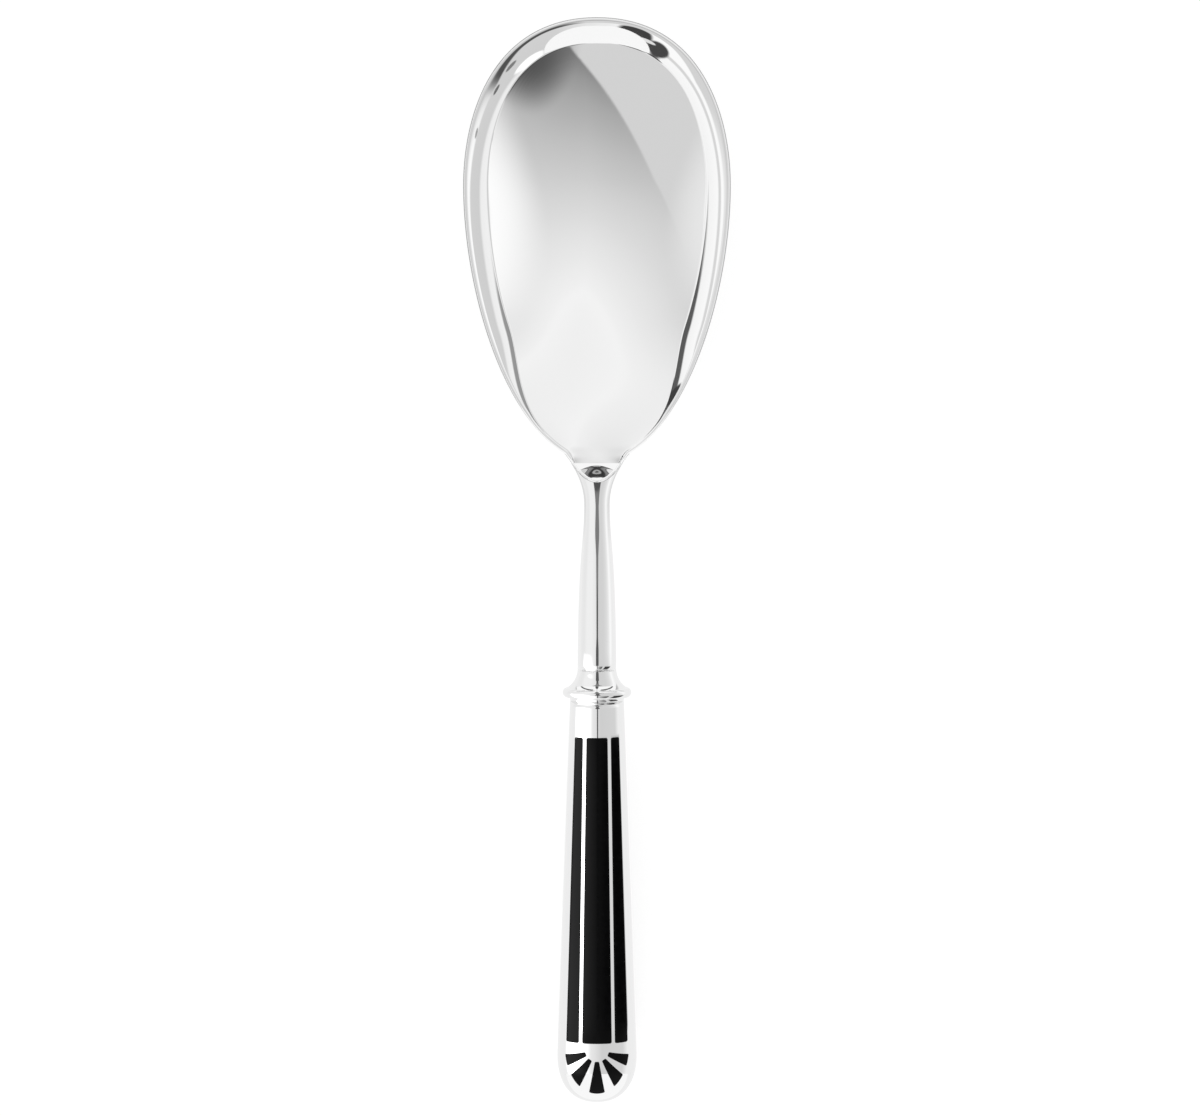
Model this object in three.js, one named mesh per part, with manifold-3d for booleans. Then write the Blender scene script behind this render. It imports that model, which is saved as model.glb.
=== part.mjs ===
import * as THREE from 'three';
import { mergeVertices } from 'three/addons/utils/BufferGeometryUtils.js';
import Module from 'manifold-3d';

// A silver-plated serving ladle lying on a table, in millimetres, +Z up.
// The bowl points along +Y and rests on a small flat, the hollow handle rests on its butt.

// Bowl, an egg-shaped pressing, measured from its tip
const bowlLength = 116.5;
const bowlWidth = 66.8;
const widestFromTip = 42;
const shoulderFromTip = 109.5;
const shoulderWidth = 15.5;
const deepestFromTip = 40;
const sheetThickness = 1.6;
const restFlatDepth = 0.35;

// Fullness of the curves that draw the bowl's outline, as shares of their runs
const tipFullness = 0.77;
const tipRoundness = 0.44;
const sideFullness = 0.355;
const shoulderRunAcross = 0.65;
const shoulderRunAlong = 0.15;
const tongueSideAcross = 0.76;
const tongueSideAlong = 0.67;
const tongueRoundness = 0.5;

// Height of the rim above the table, rising in a curve from the tip to the neck
const rimTipHeight = 13;
const rimNeckHeight = 25;
const rimRise = 2.2;

// Flange round the bowl, slightly crowned, narrowing to a thin lip round the neck
const flangeWidth = 5.9;
const flangeDrop = 4.3;
const flangeCrown = 0.3;
const flangeFadeStart = 76;
const flangeFadeEnd = 102;
const lipWidth = 1.1;
const shoulderDrop = 0.4;
const neckPocketDepth = 1.5;
const neckFloorSlope = 0.27;

// Stem, a round forging with a heel under the bowl and a tang in the handle
const stemLength = 46.3;
const stemBaseDiameter = 9.65;
const stemWaistDiameter = 6.3;
const stemWaistFromNeck = 5.5;
const stemSwellFromNeck = 15;
const stemTaper = 0.2;
const heelReach = 20;
const heelEdge = 0.9;
const heelBend = 0.4;
const neckFlareShape = 2.1;
const tangDiameter = 4.8;
const tangLength = 58;

// Collar, a turned ring with a trumpet top and one bead
const trumpetHeight = 4.4;
const beadDiameter = 17.1;
const beadHeight = 2.4;
const collarFootHeight = 0.7;
const collarFootFlare = 0.3;
const trumpetRunAcross = 0.55;
const trumpetRunAlong = 0.19;
const trumpetNeckAcross = 0.1;
const trumpetNeckAlong = 0.46;

// Hollow handle, oval in section, widest near its rounded butt
const handleLength = 101.2;
const handleButtWidth = 19.9;
const handleTopWidth = 13.4;
const handleFlatness = 0.82;
const buttLength = 12.2;
const buttFullness = 2.35;
const shellWall = 1.6;
const seamGap = 0.2;

// Lacquer stripes and rays let into both faces of the handle
const stripeTopMargin = 8.5;
const stripeButtMargin = 16.3;
const centreStripeShare = 0.375;
const stripeFieldShare = 0.78;
const ribWidth = 0.8;
const stripeCorner = 0.45;
const rayCount = 5;
const raySpread = 136;
const rayAngle = 20;
const raysButtMargin = 14.8;
const rayStartRadius = 3;
const raySideMargin = 1.95;
const rayTipMargin = 3.3;
const rayCorner = 0.3;
const lacquerDepth = 0.5;
const lacquerGap = 0.15;

// Clearance left at brazed, cemented and seated joints
const jointGap = 0.3;

// Fineness of the faceted surfaces
const roundSides = 40;
const stemSides = 28;
const tipSteps = 12;
const sideSteps = 14;
const neckSteps = 6;
const taperSteps = 12;
const heelSteps = 14;
const domeSteps = 9;
const handleSteps = 6;
const curveSteps = 6;
const cornerSteps = 3;
const weldDistance = 1e-4;
const bowlRings = [0.93, 0.83, 0.71, 0.57, 0.41, 0.24, 0.11];

const wasm = await Module();
wasm.setup();

const silverPlate = { color: 0xdcdad6, metalness: 1, roughness: 0.08 };
const blackLacquer = { color: 0x121213, metalness: 0, roughness: 0.18 };
const cement = { color: 0x9b9284, metalness: 0, roughness: 0.95 };

// Places along the bowl, with the neck end at Y = 0 and the tip at Y = bowlLength
const tipY = bowlLength;
const widestY = bowlLength - widestFromTip;
const shoulderY = bowlLength - shoulderFromTip;
const deepestY = bowlLength - deepestFromTip;
const bowlHalf = bowlWidth / 2;
const shoulderHalf = shoulderWidth / 2;
const floorHeight = sheetThickness - restFlatDepth;

// Places along the handle's axis, counted back from the neck
const waistRadius = stemWaistDiameter / 2;
const stemBaseRadius = stemBaseDiameter / 2;
const tangRadius = tangDiameter / 2;
const collarTopY = -stemLength - jointGap;
const beadTopY = collarTopY - trumpetHeight;
const beadFootY = beadTopY - beadHeight;
const collarFootY = beadFootY - collarFootHeight;
const handleTopY = collarFootY - jointGap;
const buttY = handleTopY - handleLength;
const neckHeight = rimNeckHeight - waistRadius;

const { clamp, lerp, degToRad } = THREE.MathUtils;

function ease(from, to, at) {
  const share = clamp((at - from) / (to - from), 0, 1);
  return share * share * (3 - 2 * share);
}

function solidOf(geometry) {
  const bare = geometry.clone();
  bare.deleteAttribute('normal');
  bare.deleteAttribute('uv');
  const welded = mergeVertices(bare, weldDistance);
  const corners = [];
  for (let i = 0; i < welded.index.count; i += 3) {
    const [a, b, c] = [0, 1, 2].map((k) => welded.index.getX(i + k));
    if (a !== b && b !== c && a !== c) corners.push(a, b, c);
  }
  return new wasm.Manifold(new wasm.Mesh({
    numProp: 3,
    vertProperties: new Float32Array(welded.attributes.position.array),
    triVerts: new Uint32Array(corners),
  }));
}

function meshOf(name, solid, finish) {
  const { vertProperties, triVerts } = solid.getMesh();
  const geometry = new THREE.BufferGeometry();
  geometry.setAttribute('position', new THREE.BufferAttribute(vertProperties, 3));
  geometry.setIndex(new THREE.BufferAttribute(triVerts, 1));
  geometry.computeVertexNormals();
  const mesh = new THREE.Mesh(geometry, new THREE.MeshStandardMaterial(finish));
  mesh.name = name;
  return mesh;
}

// A closed body through rings of equal count, each end closed by a fan
function loftGeometry(rings) {
  const count = rings[0].length;
  const points = rings.flat();
  const middleOf = (ring) => ring.reduce((sum, p) => sum.add(p), new THREE.Vector3())
    .divideScalar(count);
  const index = [];
  for (let j = 0; j < rings.length - 1; j += 1) {
    for (let i = 0; i < count; i += 1) {
      const next = (i + 1) % count;
      const [a, b] = [j * count + i, j * count + next];
      index.push(a, a + count, b, b, a + count, b + count);
    }
  }
  const lastRing = (rings.length - 1) * count;
  points.push(middleOf(rings[0]), middleOf(rings.at(-1)));
  for (let i = 0; i < count; i += 1) {
    const next = (i + 1) % count;
    index.push(points.length - 2, i, next);
    index.push(points.length - 1, lastRing + next, lastRing + i);
  }
  return new THREE.BufferGeometry().setFromPoints(points).setIndex(index);
}

// Right half of the bowl's outline in plan, from the tip round to the end of the tongue
function bowlEdge() {
  const tip = new THREE.CubicBezierCurve(
    new THREE.Vector2(0, tipY),
    new THREE.Vector2(tipFullness * bowlHalf, tipY),
    new THREE.Vector2(bowlHalf, lerp(widestY, tipY, tipRoundness)),
    new THREE.Vector2(bowlHalf, widestY),
  );
  const side = new THREE.CubicBezierCurve(
    new THREE.Vector2(bowlHalf, widestY),
    new THREE.Vector2(bowlHalf, lerp(widestY, shoulderY, sideFullness)),
    new THREE.Vector2(
      lerp(shoulderHalf, bowlHalf, shoulderRunAcross),
      lerp(shoulderY, widestY, shoulderRunAlong),
    ),
    new THREE.Vector2(shoulderHalf, shoulderY),
  );
  const tongue = new THREE.CubicBezierCurve(
    new THREE.Vector2(shoulderHalf, shoulderY),
    new THREE.Vector2(tongueSideAcross * shoulderHalf, tongueSideAlong * shoulderY),
    new THREE.Vector2(tongueRoundness * shoulderHalf, 0),
    new THREE.Vector2(0, 0),
  );
  return [
    ...tip.getPoints(tipSteps),
    ...side.getPoints(sideSteps).slice(1),
    ...tongue.getPoints(neckSteps).slice(1),
  ];
}

function rimHeight(y) {
  const fromTip = clamp((tipY - y) / bowlLength, 0, 1);
  return rimTipHeight + (rimNeckHeight - rimTipHeight) * fromTip ** rimRise;
}

function flangeFade(y) {
  return ease(flangeFadeStart, flangeFadeEnd, tipY - y);
}

function creaseHeight(y) {
  const drop = lerp(flangeDrop, shoulderDrop, flangeFade(y));
  return rimHeight(y) - lerp(drop, neckPocketDepth, ease(shoulderY, lipWidth, y));
}

const edge = bowlEdge();
const inward = edge.map((point, i) => {
  if (i === 0) return new THREE.Vector2(0, -1);
  if (i === edge.length - 1) return new THREE.Vector2(0, 1);
  const along = edge[i + 1].clone().sub(edge[i - 1]).normalize();
  return new THREE.Vector2(along.y, -along.x);
});
const crease = edge.map((point, i) => {
  const width = lerp(flangeWidth, lipWidth, flangeFade(point.y));
  return point.clone().addScaledVector(inward[i], width);
});
const creaseTip = crease[0].y;
const creaseNeck = crease.at(-1).y;

function creaseHalfWidth(y) {
  const i = clamp(crease.findIndex((point) => point.y <= y), 1, crease.length - 1);
  const [above, below] = [crease[i - 1], crease[i]];
  return lerp(below.x, above.x, clamp((y - below.y) / (above.y - below.y), 0, 1));
}

// Height of the bowl's lengthwise middle line, deepest at the rest flat
function spineHeight(y) {
  if (y > deepestY) {
    const share = (y - deepestY) / (creaseTip - deepestY);
    return lerp(floorHeight, creaseHeight(creaseTip), share * share);
  }
  const run = deepestY - creaseNeck;
  const share = clamp((deepestY - y) / run, 0, 1);
  const rise = share * share * (3 - 2 * share);
  const tilt = share * share * (share - 1) * run * neckFloorSlope;
  return lerp(floorHeight, creaseHeight(creaseNeck), rise) + tilt;
}

// Height of the hollow, a parabola across the bowl from the middle line to the crease
function hollowHeight(x, y) {
  const across = Math.min(1, Math.abs(x) / Math.max(creaseHalfWidth(y), 1e-6));
  return lerp(spineHeight(y), creaseHeight(y), across * across);
}

// The sheet of the bowl, or with an outset and a lid the room that it needs in the stem
function bowlSolid({ outset = 0, lowered = 0, lid = 0 }) {
  const mirrored = (list) => [
    ...list.toReversed(),
    ...list.slice(1, -1).map((p) => new THREE.Vector2(-p.x, p.y)),
  ];
  const rimPlan = mirrored(edge.map((p, i) => p.clone().addScaledVector(inward[i], -outset)));
  const creasePlan = mirrored(crease);
  const crownPlan = rimPlan.map((p, i) => p.clone().lerp(creasePlan[i], 0.5));
  const ringOf = (plan, height) => plan.map((p) => new THREE.Vector3(p.x, p.y, height(p.x, p.y)));
  const middle = new THREE.Vector2(0, deepestY);
  const shrunk = (share) => creasePlan.map((p) => middle.clone().lerp(p, share));
  const top = (height) => (lid ? () => lid : height);
  const under = (height) => (x, y) => height(x, y) - sheetThickness - lowered;
  const rim = (x, y) => rimHeight(clamp(y, 0, tipY));
  const crest = (x, y) => creaseHeight(y);
  const crown = (x, y) => (rim(x, y) + crest(x, y)) / 2 + flangeCrown * (1 - flangeFade(y));
  const inner = bowlRings.map((share) => [shrunk(share), hollowHeight]);
  const layers = [[rimPlan, rim], [crownPlan, crown], [creasePlan, crest], ...inner];
  const upper = layers.map(([plan, height]) => ringOf(plan, top(height)));
  const lower = layers.map(([plan, height]) => ringOf(plan, under(height)));
  return solidOf(loftGeometry([...upper.reverse(), ...lower]));
}

function slab(x, y, z) {
  return new THREE.BoxGeometry(x, y, z);
}

function makeBowl() {
  const below = slab(2 * bowlWidth, 4 * bowlLength, 2 * bowlLength);
  below.translate(0, 0, -bowlLength);
  return meshOf('bowl', bowlSolid({}).subtract(solidOf(below)), silverPlate);
}

// Handle profile as a radius against the distance from the butt end, set in from the outside
function handleRadius(fromButt, inset) {
  const widest = handleButtWidth / 2 - inset;
  const roundLength = buttLength - inset;
  if (fromButt < buttLength) {
    const share = clamp((buttLength - fromButt) / roundLength, 0, 1);
    return widest * (1 - share ** buttFullness) ** (1 / buttFullness);
  }
  const taper = (fromButt - buttLength) / (handleLength - buttLength);
  return lerp(handleButtWidth, handleTopWidth, taper) / 2 - inset;
}

function handleStations(inset) {
  const stations = [];
  for (let i = 0; i <= domeSteps; i += 1) {
    const turn = (i / domeSteps) * (Math.PI / 2);
    stations.push(buttLength - (buttLength - inset) * Math.cos(turn));
  }
  for (let i = 1; i <= handleSteps; i += 1) {
    stations.push(lerp(buttLength, handleLength, i / handleSteps));
  }
  return stations;
}

// Turned body about the handle's axis, flattened front to back by a share that may vary
function turned(profile, flatness) {
  const geometry = new THREE.LatheGeometry(profile, roundSides);
  const place = geometry.attributes.position;
  for (let i = 0; i < place.count; i += 1) {
    place.setZ(i, place.getZ(i) * flatness(place.getY(i)));
  }
  return solidOf(geometry);
}

function handleBody(inset, overrun = 0) {
  const profile = handleStations(inset).map(
    (at) => new THREE.Vector2(handleRadius(at, inset), buttY + at),
  );
  profile[0].x = 0;
  const topRadius = profile.at(-1).x;
  if (overrun) profile.push(new THREE.Vector2(topRadius, handleTopY + overrun));
  profile.push(new THREE.Vector2(0, handleTopY + overrun));
  return turned(profile, () => handleFlatness);
}

// Lean of the handle's axis that lets the butt touch the table
function restLean() {
  const lowest = (lean) => Math.min(...handleStations(0).map((at) => {
    const drop = (buttY + at) * Math.sin(lean);
    return neckHeight + drop - handleFlatness * handleRadius(at, 0) * Math.cos(lean);
  }));
  let [low, high] = [-Math.PI / 8, Math.PI / 4];
  for (let i = 0; i < 60; i += 1) {
    const middle = (low + high) / 2;
    if (lowest(middle) > 0) low = middle;
    else high = middle;
  }
  return (low + high) / 2;
}

// Half-width of the stem's neck, which flares to the bowl's shoulders and rounds off as a heel
function neckHalfWidth(y) {
  const palm = shoulderHalf + jointGap;
  if (y > shoulderY) {
    const share = (y - shoulderY) / (heelReach - shoulderY);
    return palm * Math.sqrt(Math.max(0, 1 - share ** 2));
  }
  const share = clamp((y + stemWaistFromNeck) / (shoulderY + stemWaistFromNeck), 0, 1);
  return waistRadius + (palm - waistRadius) * share ** neckFlareShape;
}

function makeStem(handleFrame) {
  const circle = (radius, y) => ({ y, half: radius, top: radius, bottom: -radius });
  const taper = new THREE.CubicBezierCurve(
    new THREE.Vector2(stemBaseRadius, -stemLength),
    new THREE.Vector2(stemBaseRadius - stemTaper, -stemSwellFromNeck),
    new THREE.Vector2(waistRadius, -stemSwellFromNeck),
    new THREE.Vector2(waistRadius, -stemWaistFromNeck),
  );
  const lean = handleFrame.rotation.x;
  const underside = (y) => {
    const axisHeight = neckHeight + y * Math.tan(lean);
    return spineHeight(y) - sheetThickness - axisHeight;
  };
  const heelStart = new THREE.Vector2(-stemWaistFromNeck, -waistRadius);
  const heelEnd = new THREE.Vector2(heelReach, underside(heelReach) - heelEdge);
  const heelLine = new THREE.QuadraticBezierCurve(
    heelStart,
    new THREE.Vector2(lerp(-stemWaistFromNeck, heelReach, heelBend), -waistRadius - heelEdge / 2),
    heelEnd,
  );
  const neck = [];
  for (let i = 1; i < heelSteps; i += 1) {
    const { x: y, y: bottom } = heelLine.getPoint(Math.sin((i / heelSteps) * (Math.PI / 2)));
    neck.push({ y, half: neckHalfWidth(y), top: waistRadius, bottom });
  }
  const sections = [
    circle(tangRadius, -stemLength - tangLength),
    circle(tangRadius, -stemLength),
    ...taper.getPoints(taperSteps).map((p) => circle(p.x, p.y)),
    ...neck,
  ];
  const rings = sections.map(({ y, half, top, bottom }) => {
    const ring = [];
    for (let i = 0; i < stemSides; i += 1) {
      const turn = (i / stemSides) * 2 * Math.PI;
      const height = (top + bottom) / 2 + ((top - bottom) / 2) * Math.sin(turn);
      ring.push(new THREE.Vector3(half * Math.cos(turn), y, height));
    }
    return ring;
  });
  const forging = solidOf(loftGeometry(rings));
  const seat = bowlSolid({ outset: jointGap, lowered: jointGap, lid: 2 * rimNeckHeight });
  const toHandle = handleFrame.matrix.clone().invert();
  const cut = forging.subtract(seat.transform(toHandle.elements));
  return meshOf('stem', cut, silverPlate);
}

function cylinder(radius, fromY, toY) {
  const geometry = new THREE.CylinderGeometry(radius, radius, toY - fromY, stemSides);
  return solidOf(geometry.translate(0, (fromY + toY) / 2, 0));
}

function makeCollar() {
  const footRadius = handleTopWidth / 2 + collarFootFlare;
  const beadRadius = beadDiameter / 2;
  const beadRound = beadHeight / 2;
  const outline = new THREE.Path();
  outline.moveTo(0, collarFootY);
  outline.lineTo(handleTopWidth / 2, collarFootY);
  outline.lineTo(footRadius, beadFootY);
  outline.lineTo(beadRadius - beadRound, beadFootY);
  outline.absarc(beadRadius - beadRound, beadFootY + beadRound, beadRound, -Math.PI / 2, Math.PI / 2);
  const trumpetX = (share) => lerp(stemBaseRadius, beadRadius - beadRound, share);
  const trumpetY = (share) => lerp(beadTopY, collarTopY, share);
  outline.bezierCurveTo(
    trumpetX(trumpetRunAcross), trumpetY(trumpetRunAlong),
    trumpetX(trumpetNeckAcross), trumpetY(trumpetNeckAlong),
    stemBaseRadius, collarTopY,
  );
  outline.lineTo(0, collarTopY);
  const flatness = (y) => lerp(handleFlatness, 1, ease(beadTopY, collarTopY, y));
  const ring = turned(outline.getPoints(curveSteps), flatness);
  const bore = cylinder(tangRadius + jointGap, collarFootY - 1, collarTopY + 1);
  return meshOf('collar', ring.subtract(bore), silverPlate);
}

function makeCore() {
  const fill = handleBody(shellWall + jointGap);
  const top = slab(4 * handleButtWidth, 2 * jointGap, 4 * handleButtWidth);
  top.translate(0, handleTopY, 0);
  const boreEnd = -stemLength - tangLength - jointGap;
  const bore = cylinder(tangRadius + jointGap, boreEnd, handleTopY + 1);
  return meshOf('cement_core', fill.subtract(solidOf(top)).subtract(bore), cement);
}

// A straight-sided cell outline with rounded corners, grown all round by a clearance
function cellShape(corners, corner, grow) {
  const count = corners.length;
  const outward = corners.map((p, i) => {
    const along = corners[(i + 1) % count].clone().sub(p).normalize();
    return new THREE.Vector2(along.y, -along.x);
  });
  const grown = corners.map((p, i) => {
    const [before, after] = [outward[(i + count - 1) % count], outward[i]];
    const reach = grow / (1 + before.dot(after));
    return p.clone().addScaledVector(before, reach).addScaledVector(after, reach);
  });
  const shape = new THREE.Shape();
  grown.forEach((p, i) => {
    const before = grown[(i + count - 1) % count];
    const after = grown[(i + 1) % count];
    const start = p.clone().add(before.clone().sub(p).setLength(corner));
    const end = p.clone().add(after.clone().sub(p).setLength(corner));
    if (i === 0) shape.moveTo(start.x, start.y);
    else shape.lineTo(start.x, start.y);
    shape.quadraticCurveTo(p.x, p.y, end.x, end.y);
  });
  shape.closePath();
  return shape;
}

// Corners of each lacquer cell in the handle's front view, in anticlockwise order
function lacquerCells() {
  const half = (fromButt) => handleRadius(fromButt, 0);
  const [low, high] = [stripeButtMargin, handleLength - stripeTopMargin];
  const stripe = (insideAt, outsideAt) => [
    new THREE.Vector2(insideAt(low), buttY + low),
    new THREE.Vector2(outsideAt(low), buttY + low),
    new THREE.Vector2(outsideAt(high), buttY + high),
    new THREE.Vector2(insideAt(high), buttY + high),
  ];
  const centre = (at) => centreStripeShare * half(at);
  const sideIn = (at) => centre(at) + ribWidth;
  const sideOut = (at) => stripeFieldShare * half(at);
  const cells = [
    ['stripe_left', stripe((at) => -sideOut(at), (at) => -sideIn(at)), stripeCorner],
    ['stripe_centre', stripe((at) => -centre(at), centre), stripeCorner],
    ['stripe_right', stripe(sideIn, sideOut), stripeCorner],
  ];
  const rayReachX = handleButtWidth / 2 - raySideMargin;
  const rayReachY = raysButtMargin - rayTipMargin;
  const hubY = buttY + raysButtMargin;
  const onRay = (angle, share) => {
    const [across, down] = [Math.sin(angle), Math.cos(angle)];
    const reach = 1 / Math.hypot(across / rayReachX, down / rayReachY);
    const distance = share ? reach : rayStartRadius;
    return new THREE.Vector2(across * distance, hubY - down * distance);
  };
  for (let k = 0; k < rayCount; k += 1) {
    const middle = degToRad(raySpread) * (k / (rayCount - 1) - 0.5);
    const halfAngle = degToRad(rayAngle) / 2;
    const corners = [
      onRay(middle - halfAngle, 0), onRay(middle - halfAngle, 1),
      onRay(middle, 1),
      onRay(middle + halfAngle, 1), onRay(middle + halfAngle, 0),
    ];
    cells.push([`ray_${k + 1}`, corners, rayCorner]);
  }
  return cells;
}

// Both half shells of the handle with their pockets, and the lacquer that fills them
function makeHandleFaces() {
  const outside = handleBody(0);
  const tube = outside.subtract(handleBody(shellWall, 1));
  const pocketFloor = handleBody(lacquerDepth + lacquerGap, 1);
  const lacquerFloor = handleBody(lacquerDepth, 1);
  const reach = handleButtWidth;
  const pieces = [];
  for (const [face, side] of [['front', 1], ['back', -1]]) {
    const column = (shape) => {
      const geometry = new THREE.ExtrudeGeometry(shape, {
        depth: reach, bevelEnabled: false, curveSegments: cornerSteps,
      });
      return solidOf(geometry.translate(0, 0, side > 0 ? 0 : -reach));
    };
    const half = slab(4 * reach, 4 * handleLength, 2 * reach);
    half.translate(0, (buttY + handleTopY) / 2, side * (reach + seamGap / 2));
    let shell = tube.intersect(solidOf(half));
    for (const [name, corners, corner] of lacquerCells()) {
      const pocket = column(cellShape(corners, corner, lacquerGap)).subtract(pocketFloor);
      shell = shell.subtract(pocket);
      const inlay = column(cellShape(corners, corner, 0)).intersect(outside).subtract(lacquerFloor);
      pieces.push(meshOf(`${face}_${name}`, inlay, blackLacquer));
    }
    pieces.push(meshOf(`handle_${face}_shell`, shell, silverPlate));
  }
  return pieces;
}

const handle = new THREE.Group();
handle.position.set(0, 0, neckHeight);
handle.rotation.x = restLean();
handle.updateMatrix();
handle.add(makeStem(handle), makeCollar(), makeCore(), ...makeHandleFaces());

const ladle = new THREE.Group();
ladle.add(makeBowl(), handle);
ladle.updateMatrixWorld(true);
const box = new THREE.Box3().setFromObject(ladle, true);
ladle.position.y = -(box.min.y + box.max.y) / 2;

export default ladle;
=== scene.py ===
# Silver-plated serving ladle with a lacquered hollow handle, in a white studio.
# The dictionaries hold millimetres and degrees, Blender gets metres.
import math
import bmesh
import bpy
import numpy as np
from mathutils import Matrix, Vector
from mathutils.bvhtree import BVHTree


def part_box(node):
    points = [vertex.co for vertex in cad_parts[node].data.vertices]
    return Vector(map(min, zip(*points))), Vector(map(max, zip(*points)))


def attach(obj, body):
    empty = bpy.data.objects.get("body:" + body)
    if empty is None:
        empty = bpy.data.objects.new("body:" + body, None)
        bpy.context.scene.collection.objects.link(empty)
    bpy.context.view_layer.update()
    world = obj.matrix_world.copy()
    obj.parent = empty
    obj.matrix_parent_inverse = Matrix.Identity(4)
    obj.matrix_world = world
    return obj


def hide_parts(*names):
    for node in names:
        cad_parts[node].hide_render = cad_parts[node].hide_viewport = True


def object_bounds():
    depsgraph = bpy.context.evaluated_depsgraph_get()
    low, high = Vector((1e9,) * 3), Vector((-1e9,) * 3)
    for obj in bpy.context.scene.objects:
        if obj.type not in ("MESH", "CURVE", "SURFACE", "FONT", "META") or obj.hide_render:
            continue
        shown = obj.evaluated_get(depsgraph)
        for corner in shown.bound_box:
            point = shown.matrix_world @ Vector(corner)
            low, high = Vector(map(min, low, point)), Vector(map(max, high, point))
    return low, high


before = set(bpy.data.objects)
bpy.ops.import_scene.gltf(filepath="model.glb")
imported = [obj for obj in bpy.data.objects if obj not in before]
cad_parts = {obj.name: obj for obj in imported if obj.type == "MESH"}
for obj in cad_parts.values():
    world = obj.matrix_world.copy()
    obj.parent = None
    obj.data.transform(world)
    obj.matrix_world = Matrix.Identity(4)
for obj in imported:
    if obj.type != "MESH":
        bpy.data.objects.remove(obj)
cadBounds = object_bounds()
mm = 0.001
weldDistance = 1e-7      # metres, welds only the points that coincide
leastLength = 1e-9      # divides the normals that aren't carried, which have no length


def lerp(start, end, share):
    return start + (end - start) * share


def ease(start, end, at):      # smooth step from 0 at start to 1 at end
    share = np.clip((at - start) / (end - start), 0, 1)
    return share * share * (3 - 2 * share)


def bezier(controls, steps):      # points along a Bezier curve of any degree
    share = np.linspace(0, 1, steps + 1)[:, None]
    layer = [np.tile(np.array(point, float), (steps + 1, 1)) for point in controls]
    while len(layer) > 1:
        layer = [lerp(a, b, share) for a, b in zip(layer, layer[1:])]
    return layer[0]


def hexToLinear(code):      # sRGB hex to linear red, green, blue and alpha
    parts = [int(code[i:i + 2], 16) / 255 for i in (1, 3, 5)]
    linear = [p / 12.92 if p <= 0.04045 else ((p + 0.055) / 1.055) ** 2.4 for p in parts]
    return linear + [1.0]


def addNode(tree, kind, settings=None):      # sets attributes and inputs, and links the sockets among them
    node = tree.nodes.new(kind)
    for key, value in (settings or {}).items():
        if isinstance(value, bpy.types.NodeSocket):
            tree.links.new(value, node.inputs[key])
        elif isinstance(key, int) or key in node.inputs:
            node.inputs[key].default_value = value
        else:
            setattr(node, key, value)
    return node


def newFinish(name):      # an empty material, with coordinates in millimetres for its patterns
    finish = bpy.data.materials.new(name)
    finish.use_nodes = True
    tree = finish.node_tree
    tree.nodes.clear()
    spot = addNode(tree, "ShaderNodeTexCoord").outputs["Object"]
    inMm = addNode(tree, "ShaderNodeVectorMath", {"operation": "SCALE", "Scale": 1 / mm, 0: spot})
    return finish, tree, inMm.outputs[0]


# Mirror-polished silver plate: a clear, neutral mirror, softened a little by wiping marks
silverLook = {
    "colour": "#f2f2f2",
    "clearRoughness": 0.022,
    "wipedRoughness": 0.06,
    "wipeWidth": 1.5,      # real wiping marks are some 0.02 mm wide, drawn coarse enough to show
    "wipeLength": 16,
    "wipeDetail": 5,
    "wipeFineness": 0.65,
    "wipeFrom": 0.35,      # noise between which the wiping sets in
    "wipeTo": 0.75,
    "ripple": 9,      # slow waviness that polishing leaves
    "rippleDetail": 1,
    "rippleHeight": 0.0006,
}


def mirrorPolishedSilverPlate():
    finish, tree, inMm = newFinish("mirrorPolishedSilverPlate")
    across = 1 / silverLook["wipeWidth"]
    lengthwise = 1 / silverLook["wipeLength"]
    stretch = addNode(tree, "ShaderNodeVectorMath",
                      {"operation": "MULTIPLY", 0: inMm, 1: (across, lengthwise, across)})
    wipes = addNode(tree, "ShaderNodeTexNoise",
                    {"Scale": 1.0, "Detail": silverLook["wipeDetail"],
                     "Roughness": silverLook["wipeFineness"], "Vector": stretch.outputs[0]})
    roughness = addNode(tree, "ShaderNodeMapRange",
                        {"From Min": silverLook["wipeFrom"], "From Max": silverLook["wipeTo"],
                         "To Min": silverLook["clearRoughness"], "To Max": silverLook["wipedRoughness"],
                         "Value": wipes.outputs["Fac"]})
    waves = addNode(tree, "ShaderNodeTexNoise",
                    {"Scale": 1 / silverLook["ripple"], "Detail": silverLook["rippleDetail"],
                     "Vector": inMm})
    ripple = addNode(tree, "ShaderNodeBump",
                     {"Strength": 1.0, "Distance": silverLook["rippleHeight"] * mm,
                      "Height": waves.outputs["Fac"]})
    shader = addNode(tree, "ShaderNodeBsdfPrincipled",
                     {"Base Color": hexToLinear(silverLook["colour"]), "Metallic": 1.0,
                      "Roughness": roughness.outputs["Result"], "Normal": ripple.outputs["Normal"]})
    addNode(tree, "ShaderNodeOutputMaterial", {"Surface": shader.outputs["BSDF"]})
    return finish


# Polished black lacquer: deep black with a soft sheen, its fill not quite even
lacquerLook = {
    "black": "#020202",
    "paler": "#080809",
    "ior": 1.5,
    "specularLevel": 0.08,
    "smoothRoughness": 0.14,
    "rubbedRoughness": 0.26,
    "mottle": 1.2,      # real grit is 0.01 mm, drawn coarse enough to show
    "mottleDetail": 4,
    "mottleFrom": 0.3,      # noise between which the rubbing sets in
    "mottleTo": 0.7,
    "flow": 7,
    "flowDetail": 1,
    "flowHeight": 0.002,
}


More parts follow.
